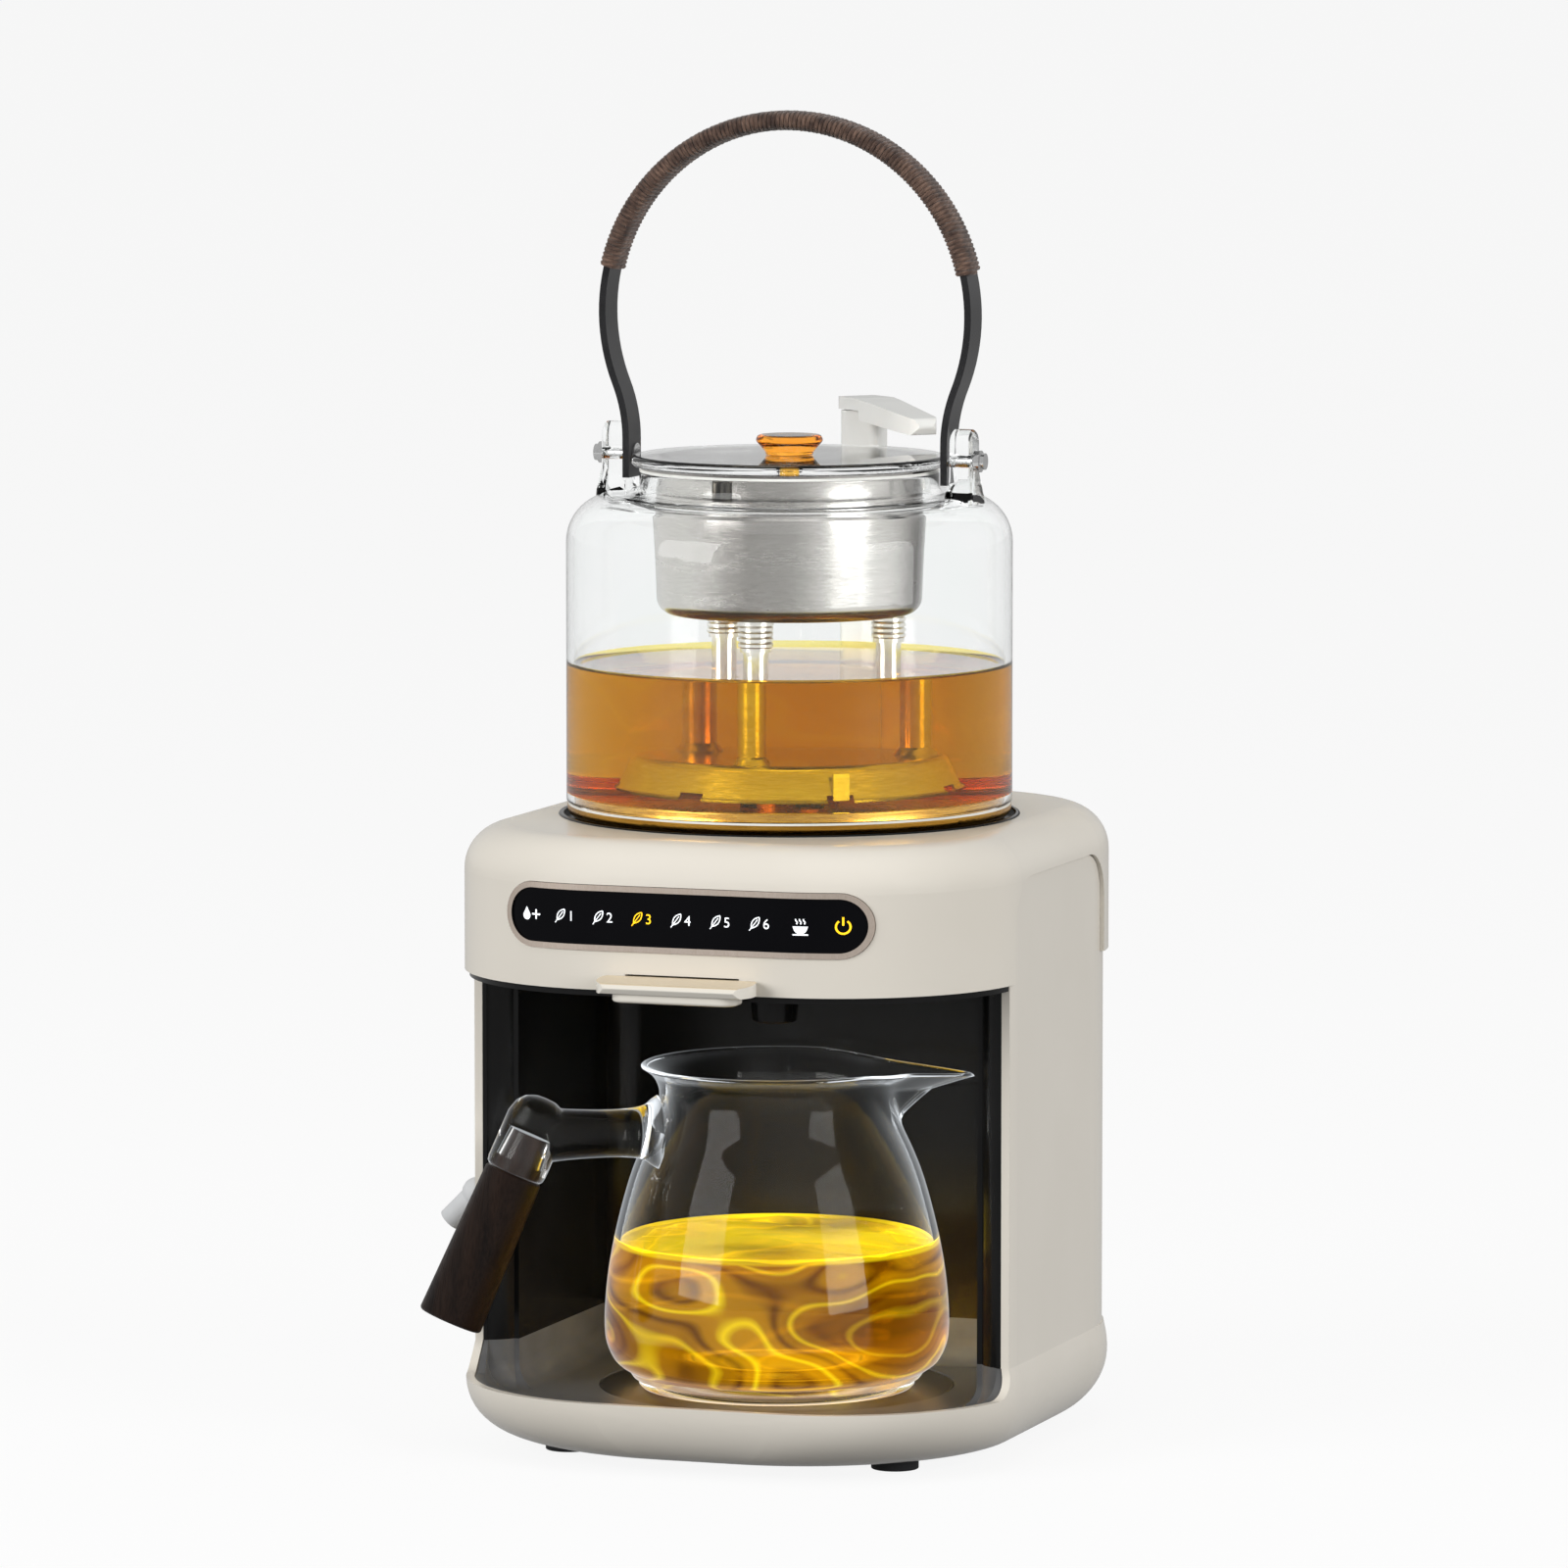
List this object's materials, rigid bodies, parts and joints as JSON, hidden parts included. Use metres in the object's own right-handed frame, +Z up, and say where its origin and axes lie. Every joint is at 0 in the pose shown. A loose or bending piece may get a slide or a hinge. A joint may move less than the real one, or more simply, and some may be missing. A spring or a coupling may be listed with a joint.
{
  "type": "automatic tea maker",
  "caption": "Automatic tea maker: a glass kettle with a drop handle drains through a thumb-lever valve in the head into a glass jug in the open bay below.",
  "frame": {"origin": "middle of the footprint, on the surface that the feet stand on", "axes": "+Z up, +X to the right of someone facing the touch panel, the front faces -Y"},
  "size_m": [0.1956, 0.2128, 0.4168],
  "materials": {
    "cream_shell": "gloss moulded plastic",
    "black_gloss": "gloss moulded plastic",
    "base_grey": "fine texture",
    "foot_rubber": "matte",
    "screw_steel": "satin",
    "warm_plate": "satin coating",
    "heater_metal": "cast",
    "champagne": "satin metallic lacquer",
    "panel_black": "polished touch panel",
    "circuit_board": "solder mask",
    "inlet_grey": "satin",
    "pump_black": "satin",
    "hose_silicone": "translucent silicone",
    "clear_glass": "clear",
    "amber_glass": "tinted",
    "gasket_silicone": "translucent silicone",
    "kettle_steel": "brushed",
    "brushed_steel": "brushed",
    "strap_black": "satin lacquer",
    "cord_wrap": "wound cord",
    "walnut": "oiled"
  },
  "bodies": {
    "root": {"base_shell": "cream_shell", "base_cover": "base_grey", "rubber_feet": "foot_rubber", "base_screws": "screw_steel", "bay_tray": "black_gloss", "warming_plate": "warm_plate", "warming_heater": "heater_metal", "column_shell": "cream_shell", "bay_liner": "black_gloss", "head_shell": "cream_shell", "head_ceiling": "black_gloss", "panel_bezel": "champagne", "panel_glass": "panel_black", "panel_board": "circuit_board", "touch_springs": "screw_steel", "kettle_seat": "black_gloss", "kettle_heater": "heater_metal", "drain_funnel": "black_gloss", "drain_nozzle": "black_gloss", "return_spring": "screw_steel", "lever_bracket": "screw_steel", "lever_pin": "screw_steel", "filler_post": "cream_shell", "water_inlet": "inlet_grey", "water_pump": "pump_black", "inlet_hose": "hose_silicone", "filler_hose": "hose_silicone", "power_board": "circuit_board", "power_inlet": "pump_black"},
    "kettle": {"kettle_glass": "clear_glass", "kettle_ears": "clear_glass", "kettle_gasket": "gasket_silicone", "kettle_base": "kettle_steel", "valve_seat": "kettle_steel", "valve_cage": "kettle_steel", "valve_spring": "screw_steel", "bail_pins": "strap_black"},
    "valve": {"valve_plunger": "kettle_steel", "valve_seal": "gasket_silicone"},
    "bail": {"bail_strap": "strap_black", "bail_wrap": "cord_wrap"},
    "infuser": {"infuser_basket": "brushed_steel", "basket_strainer": "brushed_steel", "riser_tubes": "brushed_steel", "riser_nuts": "brushed_steel", "steam_dome": "brushed_steel", "dome_skirt": "brushed_steel", "neck_gasket": "gasket_silicone"},
    "lid": {"lid_glass": "clear_glass", "lid_knob": "amber_glass", "lid_screw": "screw_steel"},
    "arm": {"filler_arm": "cream_shell"},
    "lever": {"drain_lever": "champagne", "lever_bar": "screw_steel"},
    "rod": {"push_rod": "screw_steel"},
    "jug": {"jug_glass": "clear_glass", "jug_socket": "clear_glass", "jug_grip": "walnut"}
  },
  "joints": [
    {"name": "kettle_lift", "type": "slide", "parent": "root", "child": "kettle", "axis": [0, -0.7071, 0.7071], "range_m": [0, 0.15]},
    {"name": "bail_swing", "type": "hinge", "parent": "kettle", "child": "bail", "pos_m": [0, 0, 0.3085], "axis": [1, 0, 0], "range_deg": [-85, 85]},
    {"name": "infuser_lift", "type": "slide", "parent": "kettle", "child": "infuser", "axis": [0, 0, 1], "range_m": [0, 0.06]},
    {"name": "lid_lift", "type": "slide", "parent": "infuser", "child": "lid", "axis": [0, 0, 1], "range_m": [0, 0.06]},
    {"name": "arm_swing", "type": "hinge", "parent": "root", "child": "arm", "pos_m": [-0.0025, 0.08, 0.3205], "axis": [0, 0, 1], "range_deg": [-50, 60]},
    {"name": "jug_slide", "type": "slide", "parent": "root", "child": "jug", "axis": [0, -0.9863, 0.165], "range_m": [0, 0.16]},
    {"name": "lever_press", "type": "hinge", "parent": "root", "child": "lever", "pos_m": [0, -0.04, 0.1565], "axis": [1, 0, 0], "range_deg": [0, 7], "stiffness_Nm_per_rad": 0.35, "springref_deg": -4.01, "deforming": ["return_spring", "valve_spring"]},
    {"name": "push_rod_slide", "type": "slide", "parent": "root", "child": "rod", "axis": [0, 0, 1], "range_m": [0, 0.0051]},
    {"name": "valve_lift", "type": "slide", "parent": "kettle", "child": "valve", "axis": [0, 0, 1], "range_m": [0, 0.0051]}
  ],
  "couplings": [
    {"joint": "push_rod_slide", "follows": "lever_press", "m_per_rad": 0.04},
    {"joint": "valve_lift", "follows": "lever_press", "m_per_rad": 0.04}
  ]
}
